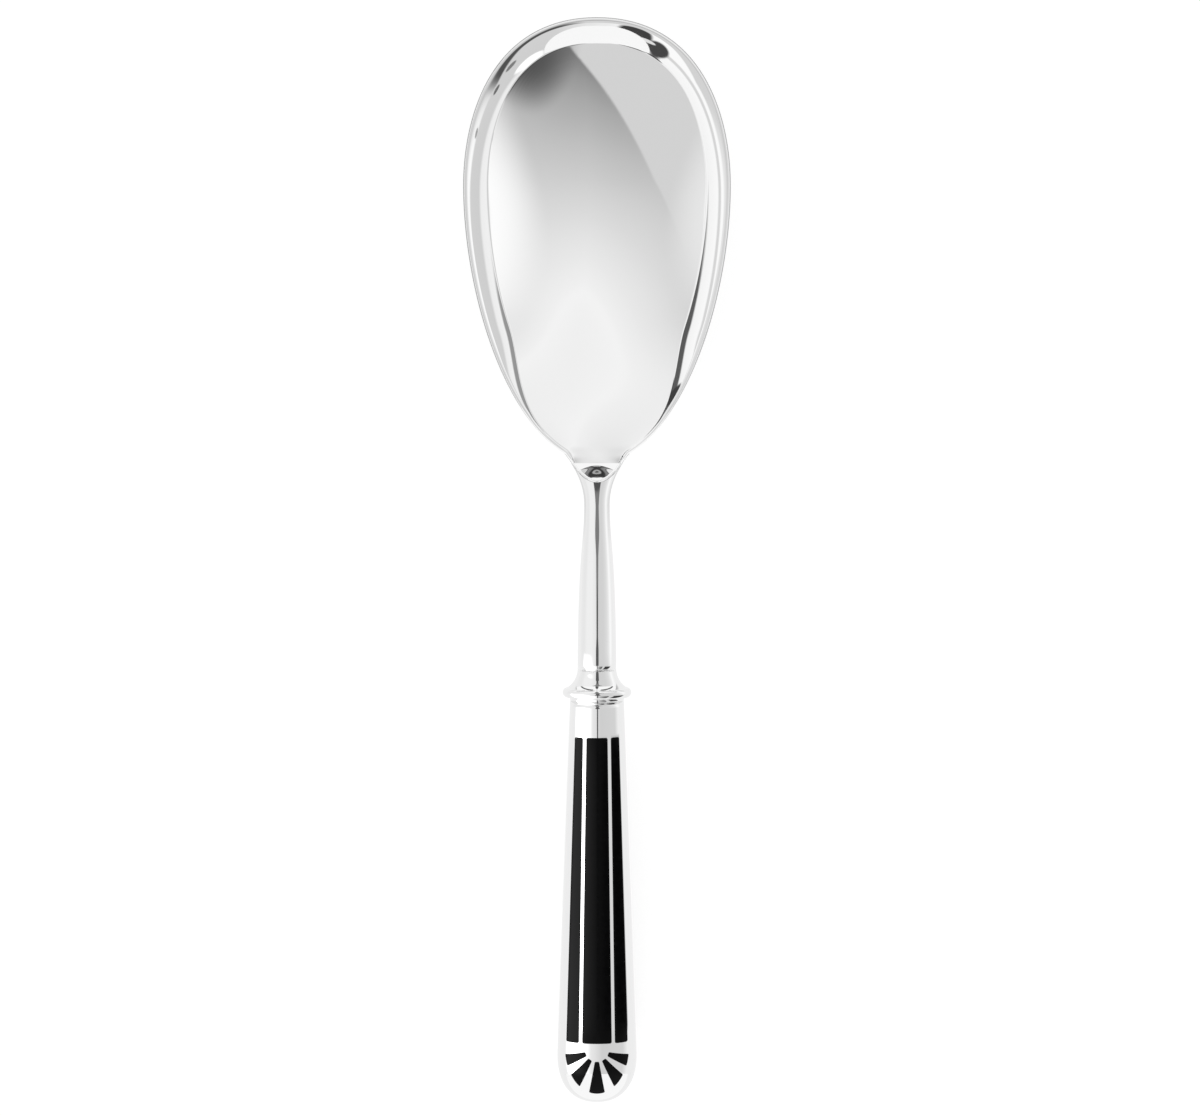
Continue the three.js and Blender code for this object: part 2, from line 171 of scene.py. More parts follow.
def polishedBlackLacquer():
    finish, tree, inMm = newFinish("polishedBlackLacquer")
    mottle = addNode(tree, "ShaderNodeTexNoise",
                     {"Scale": 1 / lacquerLook["mottle"], "Detail": lacquerLook["mottleDetail"],
                      "Vector": inMm})
    colour = addNode(tree, "ShaderNodeMix",
                     {"data_type": "RGBA", 6: hexToLinear(lacquerLook["black"]),
                      7: hexToLinear(lacquerLook["paler"]), 0: mottle.outputs["Fac"]})
    roughness = addNode(tree, "ShaderNodeMapRange",
                        {"From Min": lacquerLook["mottleFrom"], "From Max": lacquerLook["mottleTo"],
                         "To Min": lacquerLook["smoothRoughness"], "To Max": lacquerLook["rubbedRoughness"],
                         "Value": mottle.outputs["Fac"]})
    flow = addNode(tree, "ShaderNodeTexNoise",
                   {"Scale": 1 / lacquerLook["flow"], "Detail": lacquerLook["flowDetail"], "Vector": inMm})
    ripple = addNode(tree, "ShaderNodeBump",
                     {"Strength": 1.0, "Distance": lacquerLook["flowHeight"] * mm,
                      "Height": flow.outputs["Fac"]})
    shader = addNode(tree, "ShaderNodeBsdfPrincipled",
                     {"IOR": lacquerLook["ior"], "Specular IOR Level": lacquerLook["specularLevel"],
                      "Base Color": colour.outputs[2], "Roughness": roughness.outputs["Result"],
                      "Normal": ripple.outputs["Normal"]})
    addNode(tree, "ShaderNodeOutputMaterial", {"Surface": shader.outputs["BSDF"]})
    return finish


# Cast handle cement: chalky and grainy, shut inside the shells
cementLook = {
    "pale": "#a99f90",
    "dark": "#7d7467",
    "grain": 0.6,
    "grainDetail": 6,
    "grainHeight": 0.05,
    "roughness": 0.95,
}


def castHandleCement():
    finish, tree, inMm = newFinish("castHandleCement")
    grain = addNode(tree, "ShaderNodeTexNoise",
                    {"Scale": 1 / cementLook["grain"], "Detail": cementLook["grainDetail"], "Vector": inMm})
    colour = addNode(tree, "ShaderNodeMix",
                     {"data_type": "RGBA", 6: hexToLinear(cementLook["dark"]),
                      7: hexToLinear(cementLook["pale"]), 0: grain.outputs["Fac"]})
    bump = addNode(tree, "ShaderNodeBump",
                   {"Distance": cementLook["grainHeight"] * mm, "Height": grain.outputs["Fac"]})
    shader = addNode(tree, "ShaderNodeBsdfPrincipled",
                     {"Roughness": cementLook["roughness"], "Base Color": colour.outputs[2],
                      "Normal": bump.outputs["Normal"]})
    addNode(tree, "ShaderNodeOutputMaterial", {"Surface": shader.outputs["BSDF"]})
    return finish


silver = mirrorPolishedSilverPlate()
lacquer = polishedBlackLacquer()
cement = castHandleCement()
print("finishes: silver plate, lacquer and cement")


def loftFaces(ringCount, pointCount):      # quads between rings that close on themselves
    faces = []
    for j in range(ringCount - 1):
        for i in range(pointCount):
            k = (i + 1) % pointCount
            faces.append((j * pointCount + i, j * pointCount + k,
                          (j + 1) * pointCount + k, (j + 1) * pointCount + i))
    return faces


def closedLoft(rings):      # a body through rings of equal count, with a fan at each end
    count = len(rings[0])
    points = np.concatenate(rings + [rings[0].mean(0)[None], rings[-1].mean(0)[None]])
    faces = loftFaces(len(rings), count)
    lastRing = (len(rings) - 1) * count
    for i in range(count):
        k = (i + 1) % count
        faces.append((len(points) - 2, k, i))
        faces.append((len(points) - 1, lastRing + i, lastRing + k))
    return points, faces


def makeBody(name, points, faces, sharpAngle=40):      # a smooth closed mesh, points in millimetres
    mesh = bpy.data.meshes.new(name)
    mesh.from_pydata((np.asarray(points) * mm).tolist(), [], faces)
    tidy = bmesh.new()
    tidy.from_mesh(mesh)
    bmesh.ops.remove_doubles(tidy, verts=tidy.verts, dist=weldDistance)
    bmesh.ops.recalc_face_normals(tidy, faces=tidy.faces)
    tidy.to_mesh(mesh)
    tidy.free()
    smoothen(mesh, sharpAngle)
    body = bpy.data.objects.new(name, mesh)
    bpy.context.scene.collection.objects.link(body)
    return body


def smoothen(mesh, sharpAngle):
    mesh.shade_smooth()
    mesh.set_sharp_from_angle(angle=math.radians(sharpAngle))


def place(piece, node, finish):      # gives a piece its finish, hangs it on the frame and hides the node it stands in for
    piece.data.materials.clear()
    piece.data.materials.append(finish)
    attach(piece, "root")
    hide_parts(node)


def cutAway(piece, cutter, sharpAngle=40):      # takes the cutter's room out of the piece
    cut = piece.modifiers.new("cut", "BOOLEAN")
    cut.operation = "DIFFERENCE"
    cut.solver = "MANIFOLD"
    cut.object = cutter
    result = bpy.data.meshes.new_from_object(piece.evaluated_get(bpy.context.evaluated_depsgraph_get()))
    piece.modifiers.clear()
    piece.data = result
    bpy.data.objects.remove(cutter)
    smoothen(result, sharpAngle)


def dropFlaps(mesh, sharpAngle=40):      # takes out slivers that lie back to back where two skins meet
    tidy = bmesh.new()
    tidy.from_mesh(mesh)
    bmesh.ops.remove_doubles(tidy, verts=tidy.verts, dist=weldDistance)
    bmesh.ops.triangulate(tidy, faces=tidy.faces)
    byCorners = {}
    for face in tidy.faces:
        byCorners.setdefault(frozenset(face.verts), []).append(face)
    flaps = {face for faces in byCorners.values() if len(faces) > 1 for face in faces}
    flaps |= {face for face in tidy.faces if any(edge.is_boundary for edge in face.edges)}
    bmesh.ops.delete(tidy, geom=list(flaps), context="FACES")
    tidy.to_mesh(mesh)
    tidy.free()
    smoothen(mesh, sharpAngle)


def carryNormals(piece, whole, nearby=0.05, alike=0.9):      # uncut normals, so cut edges leave no ripples
    source = whole.data
    source.calc_loop_triangles()
    corners = np.array([t.vertices[:] for t in source.loop_triangles])
    spots = np.array([v.co[:] for v in source.vertices])
    normals = np.array([v.normal[:] for v in source.vertices])
    tree = BVHTree.FromPolygons(spots.tolist(), corners.tolist())
    mesh = piece.data
    carried = np.zeros((len(mesh.loops), 3))
    for face in mesh.polygons:
        _, facing, _, distance = tree.find_nearest(face.center)
        if distance > nearby * mm or facing.dot(face.normal) < alike:
            continue
        for loop in face.loop_indices:
            spot = mesh.vertices[mesh.loops[loop].vertex_index].co
            touch, _, index, _ = tree.find_nearest(spot)
            a, b, c = spots[corners[index]]
            shares = np.linalg.lstsq(np.stack([a, b, c], 1), np.array(touch), rcond=None)[0]
            carried[loop] = shares @ normals[corners[index]]
    lengths = np.linalg.norm(carried, axis=1, keepdims=True)
    mesh.normals_split_custom_set((carried / np.maximum(lengths, leastLength)).tolist())


# Bowl, an egg-shaped pressing with a sloping flange, drawn from its neck end at y = 0
bowl = {
    "widestFromTip": 42, "shoulderFromTip": 109.5, "shoulderWidth": 15.5, "deepestFromTip": 40,
    "sheet": 1.6, "restFlatDepth": 0.35,
    "tipFullness": 0.77, "tipRoundness": 0.44, "sideFullness": 0.355,
    "shoulderRunAcross": 0.65, "shoulderRunAlong": 0.15,
    "tongueSideAcross": 0.76, "tongueSideAlong": 0.67, "tongueRoundness": 0.5,
    "rimTipHeight": 13, "rimNeckHeight": 25, "rimRise": 2.2,
    "flangeWidth": 5.9, "flangeDrop": 4.3, "flangeFadeStart": 79, "flangeFadeEnd": 105,
    "lipWidth": 1.1, "neckLipWidth": 0.55, "neckLipFrom": 2, "shoulderDrop": 0.4,
    "neckPocketDepth": 1.5, "neckFloorSlope": 0.27, "neckEndBlend": 0.4,
    "creaseRound": 0.3,      # run of the soft bend between the flange and the hollow
    "creaseRoundShare": 0.22,      # most of the flange's width that this bend may take
    "edgeShare": 0.42,      # most of the lip's width that its rounded edge may take
    "shoulderBlend": 2.5,      # softens the hollow where the outline bends at the shoulder
    "blendMargin": 1, "blendFade": 20,      # full this far before the shoulder, gone at the deepest point
    "hollowFadeStart": 72, "hollowFadeEnd": 113,      # the hollow narrows to the lip more slowly
    "leastRise": 0.05, "mostAcross": 1.25, "narrowest": 0.001,      # limits of its curve across
    "creaseSlope": 0.94, "creaseSlopeEnd": 0.99,      # rise of the crowned flange as it leaves the crease
    "creaseSlopeFrom": 60, "creaseSlopeTo": 90,
    "crownShare": 0.75, "crownBlend": 0.05,      # most of the flange's drop that its crown may take
    "pocketLevel": 2.06, "pocketFrom": 4.5, "pocketBlend": 0.35,      # little dish at the neck
    "dishMiddle": 2.4, "dishReach": 1.65, "dishRise": 0.07, "dishFade": 4,      # hollowed lengthwise
    "dishCurve": 0.0146, "dishFrom": 4, "dishTo": 6.5,      # and across, up to where the hollow takes over
    "dishArch": 0.07, "archFrom": 5, "archTo": 9,      # rounds its edge towards the hollow
    "restFlatBlend": 0.12,
}
bowlLow, bowlHigh = (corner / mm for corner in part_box("bowl"))
neckY = bowlLow.y
tipY = bowlHigh.y - bowlLow.y
bowlHalf = bowlHigh.x
widestY = tipY - bowl["widestFromTip"]
shoulderY = tipY - bowl["shoulderFromTip"]
deepestY = tipY - bowl["deepestFromTip"]
shoulderHalf = bowl["shoulderWidth"] / 2
floorHeight = bowl["sheet"] - bowl["restFlatDepth"]


def rimHeight(y):
    fromTip = np.clip((tipY - y) / tipY, 0, 1)
    return lerp(bowl["rimTipHeight"], bowl["rimNeckHeight"], fromTip ** bowl["rimRise"])


def flangeFade(y):
    return ease(bowl["flangeFadeStart"], bowl["flangeFadeEnd"], tipY - y)


def hollowFade(y):
    start, end = bowl["hollowFadeStart"], bowl["hollowFadeEnd"]
    share = np.clip((tipY - y - start) / (end - start), 0, 1)
    return share ** 3 * (10 - 15 * share + 6 * share ** 2)


def hollowEdge(y):      # height at which the hollow meets the flange or the lip
    drop = lerp(bowl["flangeDrop"], bowl["shoulderDrop"], hollowFade(y))
    return rimHeight(y) - lerp(drop, bowl["neckPocketDepth"], ease(shoulderY, bowl["lipWidth"], y))


def bowlOutline():      # right half of the plan, from the tip round to the end of the tongue
    tip = bezier([(0, tipY), (bowl["tipFullness"] * bowlHalf, tipY),
                  (bowlHalf, lerp(widestY, tipY, bowl["tipRoundness"])), (bowlHalf, widestY)], steps=60)
    side = bezier([(bowlHalf, widestY), (bowlHalf, lerp(widestY, shoulderY, bowl["sideFullness"])),
                   (lerp(shoulderHalf, bowlHalf, bowl["shoulderRunAcross"]),
                    lerp(shoulderY, widestY, bowl["shoulderRunAlong"])),
                   (shoulderHalf, shoulderY)], steps=84)
    tongue = bezier([(shoulderHalf, shoulderY),
                     (bowl["tongueSideAcross"] * shoulderHalf, bowl["tongueSideAlong"] * shoulderY),
                     (bowl["tongueRoundness"] * shoulderHalf, 0), (0, 0)], steps=30)
    return np.concatenate([tip, side[1:], tongue[1:]])


outline = bowlOutline()
heading = np.gradient(outline, axis=0)
heading /= np.linalg.norm(heading, axis=1, keepdims=True)
outward = np.stack([-heading[:, 1], heading[:, 0]], 1)
outward[0] = (0, 1)
outward[-1] = (0, -1)
lip = lerp(bowl["lipWidth"], bowl["neckLipWidth"], ease(shoulderY, bowl["neckLipFrom"], outline[:, 1]))
bandWidth = lerp(bowl["flangeWidth"], lip, flangeFade(outline[:, 1]))[:, None]
crease = outline - outward * bandWidth
hollowBand = lerp(bowl["flangeWidth"], lip, hollowFade(outline[:, 1]))[:, None]
hollowPlan = outline - outward * hollowBand
creaseTip = crease[0, 1]
creaseNeck = crease[-1, 1]
stationCount = 2400
stationY = np.linspace(creaseNeck, creaseTip, stationCount)


def softened(values, blend):      # values at the stations, blurred along y
    step = stationY[1] - stationY[0]
    reach = int(3 * blend / step)      # beyond three blends the weights are next to nothing
    weights = np.exp(-0.5 * (np.arange(-reach, reach + 1) * step / blend) ** 2)
    padded = np.pad(values, reach, mode="reflect", reflect_type="odd")
    return np.convolve(padded, weights / weights.sum(), mode="valid")


def hollowHalfWidths():      # half-width of the hollow along y, softened round the shoulder
    width = np.interp(stationY, hollowPlan[::-1, 1], hollowPlan[::-1, 0])
    share = ease(creaseNeck, shoulderY - bowl["blendMargin"], stationY)
    share *= 1 - ease(deepestY - bowl["blendFade"], deepestY, stationY)
    return lerp(width, softened(width, bowl["shoulderBlend"]), share)


def spineHeights():      # the bowl's lengthwise middle line, deepest at the rest flat
    tipShare = (stationY - deepestY) / (creaseTip - deepestY)
    toTip = lerp(floorHeight, hollowEdge(creaseTip), tipShare ** 2)
    run = deepestY - bowl["pocketFrom"]
    share = np.clip((deepestY - stationY) / run, 0, 1)
    rise = lerp(floorHeight, bowl["rimNeckHeight"] - bowl["pocketLevel"], share * share * (3 - 2 * share))
    toNeck = rise + share * share * (share - 1) * run * bowl["neckFloorSlope"]
    fromMiddle = np.minimum(stationY, bowl["pocketFrom"]) - bowl["dishMiddle"]
    dish = bowl["dishRise"] * (fromMiddle / bowl["dishReach"]) ** 2
    toNeck += dish * ease(bowl["pocketFrom"] + bowl["dishFade"], bowl["pocketFrom"], stationY)
    toNeck = softened(toNeck, bowl["pocketBlend"])
    atEnd = ease(creaseNeck + bowl["neckEndBlend"], creaseNeck, stationY)
    toNeck = lerp(toNeck, hollowEdge(creaseNeck), atEnd)
    return np.where(stationY > deepestY, toTip, toNeck)


halfWidths = hollowHalfWidths()
spine = spineHeights()


def hollowHeight(plan):
    x, y = plan[:, 0], plan[:, 1]
    across = np.abs(x) / np.maximum(np.interp(y, stationY, halfWidths), bowl["narrowest"])
    arch = bowl["dishArch"] * x ** 2 * ease(bowl["archTo"], bowl["archFrom"], y)
    middle = np.interp(y + arch, stationY, spine)
    rise = np.maximum(hollowEdge(y) - middle, bowl["leastRise"])
    rise = rise * np.minimum(across, bowl["mostAcross"]) ** 2
    return middle + lerp(rise, bowl["dishCurve"] * x ** 2, ease(bowl["dishTo"], bowl["dishFrom"], y))


def raised(plan, height):
    return np.concatenate([plan, np.reshape(height, (-1, 1))], 1)


def mirrored(ring):      # the whole ring from its right half
    left = ring[-2:0:-1] * (-1, 1, 1)
    return np.concatenate([ring, left])


hollowStart = 0.004      # shares of the way from the deepest point to the crease
hollowClose = 0.9
innerRings = 44
outerRings = 28      # closer together, where the hollow bends most
hollowShares = np.concatenate([np.linspace(hollowStart, hollowClose, innerRings),
                               np.linspace(hollowClose, 1, outerRings)[1:]])
bendSteps = 6
flangeSteps = 9
edgeSteps = 12


def rounded(start, corner, end, steps):      # inner points of a soft bend
    share = np.linspace(0, 1, steps + 1)[1:-1]
    return [start * (1 - t) ** 2 + corner * 2 * t * (1 - t) + end * t ** 2 for t in share]


def bowlRings():
    middle = np.array([[0, deepestY]])
    spoke = crease - middle
    spokeLength = np.linalg.norm(spoke, axis=1, keepdims=True)
    bend = np.minimum(bowl["creaseRound"], bowl["creaseRoundShare"] * bandWidth)
    creaseTop = hollowHeight(crease)
    drop = rimHeight(outline[:, 1]) - creaseTop
    towardsNeck = ease(bowl["creaseSlopeFrom"], bowl["creaseSlopeTo"], tipY - outline[:, 1])
    steepness = lerp(bowl["creaseSlope"], bowl["creaseSlopeEnd"], towardsNeck)
    crown = steepness * bandWidth[:, 0] - drop
    crown = (crown + np.sqrt(crown ** 2 + bowl["crownBlend"])) / 2      # never below zero
    crown = np.minimum(crown, bowl["crownShare"] * drop)
    slope = np.arctan2(drop - crown, bandWidth[:, 0])[:, None]      # of the flange at its edge
    edgeRadius = np.minimum(bowl["sheet"] / 2 * np.cos(slope), bowl["edgeShare"] * bandWidth)

    def onFlange(out):      # points of the crowned flange, measured outwards from the crease
        share = (out / bandWidth)[:, 0]
        return raised(crease + outward * out, creaseTop + drop * share + crown * share * (1 - share))

    hollow = []
    for share in hollowShares:
        plan = middle + spoke * (1 - bend / spokeLength) * share
        hollow.append(raised(plan, hollowHeight(plan)))
    flangeEnd = bandWidth - edgeRadius * (1 + np.sin(slope))
    flange = [onFlange(lerp(bend, flangeEnd, k / flangeSteps)) for k in range(flangeSteps + 1)]
    corner = raised(crease, creaseTop)
    across = np.concatenate([outward, np.zeros((len(outward), 1))], 1)
    up = np.array([[0, 0, 1]])
    facing = up * np.cos(slope) - across * np.sin(slope)
    outAlong = across * np.cos(slope) + up * np.sin(slope)
    heart = flange[-1] - facing * edgeRadius
    edge = []
    for k in range(1, edgeSteps + 1):
        turn = math.pi * k / edgeSteps
        edge.append(heart + (facing * math.cos(turn) + outAlong * math.sin(turn)) * edgeRadius)
    down = np.array([[0, 0, bowl["sheet"]]])
    below = [ring - down for ring in flange[-2::-1]]
    below += rounded(flange[0] - down, corner - down, hollow[-1] - down, bendSteps)
    below += [ring - down for ring in hollow[::-1]]
    for ring in below:      # worn flat where the bowl rests
        z = ring[:, 2]
        ring[:, 2] = (z + np.sqrt(z * z + bowl["restFlatBlend"] ** 2)) / 2
    rings = hollow + rounded(hollow[-1], corner, flange[0], bendSteps) + flange + edge + below
    return [mirrored(ring) + (0, neckY, 0) for ring in rings]


bowlSheet = makeBody("bowlSheet", *closedLoft(bowlRings()), sharpAngle=70)
place(bowlSheet, "bowl", silver)
print("bowl:", len(bowlSheet.data.polygons), "faces")


# Handle, measured along its own axis back from the neck
handle = {
    "length": 101.2, "buttWidth": 19.9, "topWidth": 13.4, "flatness": 0.82,
    "buttLength": 12.2, "buttFullness": 2.35, "wall": 1.6, "seam": 0.03,
    "wholeSides": 240, "shellPoints": 121,
}
stem = {
    "length": 46.3, "baseDiameter": 9.65, "waistDiameter": 6.3, "waistFromNeck": 5.5,
    "swellFromNeck": 15, "taper": 0.2, "heelReach": 20, "heelEdge": 0.9, "heelBend": 0.4,
    "flareShape": 2.1, "tangDiameter": 4.8, "tangLength": 58, "flareGap": 0.3, "seatGap": 0.03,
    "seatRings": 24, "sides": 112,
}
collar = {
    "gap": 0.3, "trumpetHeight": 4.4, "beadDiameter": 17.1, "beadHeight": 2.4,
    "trumpetRunAcross": 0.55, "trumpetRunAlong": 0.19, "trumpetNeckAcross": 0.1, "trumpetNeckAlong": 0.46,
    "footHeight": 0.7, "footFlare": 0.3, "hairline": 0.16, "sides": 160, "beadPoints": 25,
}
waistRadius = stem["waistDiameter"] / 2
baseRadius = stem["baseDiameter"] / 2
tangRadius = stem["tangDiameter"] / 2
beadRadius = collar["beadDiameter"] / 2
collarTopY = -stem["length"] - collar["gap"]
beadTopY = collarTopY - collar["trumpetHeight"]
beadFootY = beadTopY - collar["beadHeight"]
collarFootY = beadFootY - collar["footHeight"]
handleTopY = collarFootY - collar["gap"]
buttY = handleTopY - handle["length"]
neckHeight = bowl["rimNeckHeight"] - waistRadius


def handleRadius(fromButt, inset=0.0):
    fromButt = np.asarray(fromButt, float)
    share = np.clip((handle["buttLength"] - fromButt) / (handle["buttLength"] - inset), 0, 1)
    power = handle["buttFullness"]
    dome = (handle["buttWidth"] / 2 - inset) * (1 - share ** power) ** (1 / power)
    taper = (fromButt - handle["buttLength"]) / (handle["length"] - handle["buttLength"])
    shank = lerp(handle["buttWidth"], handle["topWidth"], taper) / 2 - inset
    return np.where(fromButt < handle["buttLength"], dome, shank)


def handleStations(inset, domeSteps, shankSteps):
    turn = np.linspace(0, math.pi / 2, domeSteps + 1)
    dome = handle["buttLength"] - (handle["buttLength"] - inset) * np.cos(turn)
    shank = np.linspace(handle["buttLength"], handle["length"] + collar["gap"] - collar["hairline"],
                        shankSteps + 1)
    return np.concatenate([dome, shank[1:]])


def restLean():      # lean of the handle's axis at which the butt touches the table
    at = handleStations(0, domeSteps=60, shankSteps=4)
    low, high = -math.pi / 8, math.pi / 4      # the lean lies between these
    halvings = 50
    for _ in range(halvings):
        tilt = (low + high) / 2
        reach = handle["flatness"] * handleRadius(at) * math.cos(tilt)
        lowest = np.min(neckHeight + (buttY + at) * math.sin(tilt) - reach)
        low, high = (tilt, high) if lowest > 0 else (low, tilt)
    return (low + high) / 2


lean = restLean()


def fromAxis(points):      # from the handle's own axes to the frame
    x, y, z = np.moveaxis(np.asarray(points, float), -1, 0)
    rowY = neckY + y * math.cos(lean) - z * math.sin(lean)
    rowZ = neckHeight + y * math.sin(lean) + z * math.cos(lean)
    return np.stack([x, rowY, rowZ], -1)


print("handle leans", round(math.degrees(lean), 2), "degrees")


# Stem, a round forging that flares under the bowl
def neckHalfWidth(y):
    palm = shoulderHalf + stem["flareGap"]
    flare = np.clip((y + stem["waistFromNeck"]) / (shoulderY + stem["waistFromNeck"]), 0, 1)
    towardsHeel = np.clip((y - shoulderY) / (stem["heelReach"] - shoulderY), 0, 1)
    flared = waistRadius + (palm - waistRadius) * flare ** stem["flareShape"]
    return np.where(y > shoulderY, palm * np.sqrt(1 - towardsHeel ** 2), flared)


def stemRings():
    taper = bezier([(baseRadius, -stem["length"] - collar["gap"] + collar["hairline"]),
                    (baseRadius - stem["taper"], -stem["swellFromNeck"]),
                    (waistRadius, -stem["swellFromNeck"]), (waistRadius, -stem["waistFromNeck"])], steps=60)
    heelHeight = np.interp(stem["heelReach"], stationY, spine)
    heelDepth = heelHeight - bowl["sheet"] - neckHeight - stem["heelReach"] * math.tan(lean)
    bend = lerp(-stem["waistFromNeck"], stem["heelReach"], stem["heelBend"])
    heel = bezier([(-stem["waistFromNeck"], -waistRadius), (bend, -waistRadius - stem["heelEdge"] / 2),
                   (stem["heelReach"], heelDepth - stem["heelEdge"])], steps=90)[1:-1]
    tangEnd = -stem["length"] - stem["tangLength"]
    sections = [(tangEnd, tangRadius, tangRadius, -tangRadius),
                (taper[0, 1], tangRadius, tangRadius, -tangRadius)]
    sections += [(y, radius, radius, -radius) for radius, y in taper]
    sections += [(y, half, waistRadius, bottom)
                 for (y, bottom), half in zip(heel, neckHalfWidth(heel[:, 0]))]
    turn = np.linspace(0, 2 * math.pi, stem["sides"], endpoint=False)
    rings = []
    for y, half, top, bottom in sections:
        height = (top + bottom) / 2 + (top - bottom) / 2 * np.sin(turn)
        rings.append(fromAxis(np.stack([half * np.cos(turn), np.full_like(turn, y), height], 1)))
    return rings


def bowlSeat():      # the room that the bowl takes out of the stem, open upwards
    clear = stem["seatGap"]
    lid = 2 * bowl["rimNeckHeight"]
    drop = bowl["sheet"] + clear
    rim = outline + outward * clear
    rings = [raised(rim, np.full(len(rim), lid)), raised(rim, rimHeight(outline[:, 1]) - drop),
             raised(crease, hollowHeight(crease) - drop)]
    for k in range(stem["seatRings"], 0, -1):
        plan = lerp(np.array([[0, deepestY]]), crease, k / (stem["seatRings"] + 1))
        rings.append(raised(plan, hollowHeight(plan) - drop))
    return [mirrored(ring) + (0, neckY, 0) for ring in rings]


stemBody = closedLoft(stemRings())
stemWhole = makeBody("stemWhole", *stemBody)
stemForging = makeBody("stemForging", *stemBody)
cutAway(stemForging, makeBody("bowlSeat", *closedLoft(bowlSeat())))
dropFlaps(stemForging.data)
carryNormals(stemForging, stemWhole)
bpy.data.objects.remove(stemWhole)
place(stemForging, "stem", silver)
print("stem:", len(stemForging.data.polygons), "faces")


# Collar, a turned ring with a trumpet top and one bead, bored for the tang
def collarRings():
    bore = tangRadius + collar["gap"]
    footRadius = handle["topWidth"] / 2
    flareRadius = footRadius + collar["footFlare"]
    beadRound = collar["beadHeight"] / 2
    turn = np.linspace(-math.pi / 2, math.pi / 2, collar["beadPoints"])
    bead = np.stack([beadRadius - beadRound + beadRound * np.cos(turn),
                     beadFootY + beadRound + beadRound * np.sin(turn)], 1)

    def onTrumpet(across, rise):
        return lerp(baseRadius, beadRadius - beadRound, across), lerp(beadTopY, collarTopY, rise)

    trumpet = bezier([bead[-1], onTrumpet(collar["trumpetRunAcross"], collar["trumpetRunAlong"]),
                      onTrumpet(collar["trumpetNeckAcross"], collar["trumpetNeckAlong"]),
                      onTrumpet(0, 1)], steps=24)[1:]
    foot = bezier([(footRadius, collarFootY), (footRadius, beadFootY), (flareRadius, beadFootY)], steps=6)
    profile = np.concatenate([[(bore, collarFootY)], foot, bead, trumpet, [(bore, collarTopY)]])
    around = np.linspace(0, 2 * math.pi, collar["sides"], endpoint=False)
    flat = lerp(handle["flatness"], 1, ease(beadTopY, collarTopY, profile[:, 1]))
    flat[profile[:, 0] == bore] = 1
    rings = []
    for angle in around:
        points = np.stack([profile[:, 0] * math.cos(angle), profile[:, 1],
                           profile[:, 0] * math.sin(angle) * flat], 1)
        rings.append(fromAxis(points))
    return rings


collarLoops = collarRings()
collarFaces = loftFaces(len(collarLoops) + 1, len(collarLoops[0]))
collarCount = len(collarLoops) * len(collarLoops[0])
collarFaces = [tuple(corner % collarCount for corner in face) for face in collarFaces]
collarRing = makeBody("collarRing", np.concatenate(collarLoops), collarFaces, sharpAngle=35)
place(collarRing, "collar", silver)
print("collar:", len(collarRing.data.polygons), "faces")


# Lacquer cells let into both faces of the handle
cells = {
    "topMargin": 8.5, "buttMargin": 16.3, "centreShare": 0.375, "fieldShare": 0.78, "rib": 0.8,
    "stripeCorner": 0.45, "rays": 5, "raySpread": 136, "rayAngle": 20, "raysButtMargin": 14.8,
    "rayStart": 3, "raySideMargin": 1.95, "rayTipMargin": 3.3, "rayCorner": 0.3,
    "depth": 0.5, "pocketDepth": 0.6, "pocketRise": 1, "fit": 0.015, "proud": 0.004, "edgeDip": 0.012,
    "cornerPoints": 6, "centreColumns": 15, "sideColumns": 9, "rayColumns": 13,
}


def cornerRows(length, corner, steps):      # distances along a cell, close together in its rounded ends
    turn = np.linspace(0, math.pi / 2, cells["cornerPoints"])
    end = corner * (1 - np.cos(turn))
    return np.concatenate([end, np.linspace(corner, length - corner, steps)[1:-1], (length - end)[::-1]])


def cornerInset(rows, length, corner):      # how far a rounded corner draws the sides in at each row
    toEnd = np.clip(np.minimum(rows, length - rows), 0, corner)
    return corner - np.sqrt(np.maximum(corner ** 2 - (corner - toEnd) ** 2, 0))


def stripeGrid(side, grow):      # x and distance from the butt, as rows by columns
    low = cells["buttMargin"] - grow
    length = handle["length"] - cells["topMargin"] - cells["buttMargin"] + 2 * grow
    rows = cornerRows(length, cells["stripeCorner"], steps=60)
    fromButt = low + rows
    half = handleRadius(fromButt)
    inner = cells["centreShare"] * half
    edges = {"left": (-cells["fieldShare"] * half, -inner - cells["rib"]), "centre": (-inner, inner),
             "right": (inner + cells["rib"], cells["fieldShare"] * half)}
    inset = cornerInset(rows, length, cells["stripeCorner"]) - grow
    start, end = edges[side][0] + inset, edges[side][1] - inset
    share = np.linspace(0, 1, cells["centreColumns"] if side == "centre" else cells["sideColumns"])
    return lerp(start[:, None], end[:, None], share), np.repeat(fromButt[:, None], len(share), 1)


def rayGrid(index, grow):
    middle = math.radians(cells["raySpread"]) * (index / (cells["rays"] - 1) - 0.5)
    halfAngle = math.radians(cells["rayAngle"]) / 2
    reachX = handle["buttWidth"] / 2 - cells["raySideMargin"]
    reachY = cells["raysButtMargin"] - cells["rayTipMargin"]

    def reach(angle):
        return 1 / np.hypot(np.sin(angle) / reachX, np.cos(angle) / reachY)

    start = cells["rayStart"] - grow
    length = reach(middle) + grow - start
    rows = cornerRows(length, cells["rayCorner"], steps=16)
    inset = cornerInset(rows, length, cells["rayCorner"]) - grow
    spread = halfAngle - inset / (start + rows)
    angle = middle + spread[:, None] * np.linspace(-1, 1, cells["rayColumns"])
    out = start + (rows / length)[:, None] * (reach(angle) + grow - start)
    return out * np.sin(angle), cells["raysButtMargin"] - out * np.cos(angle)


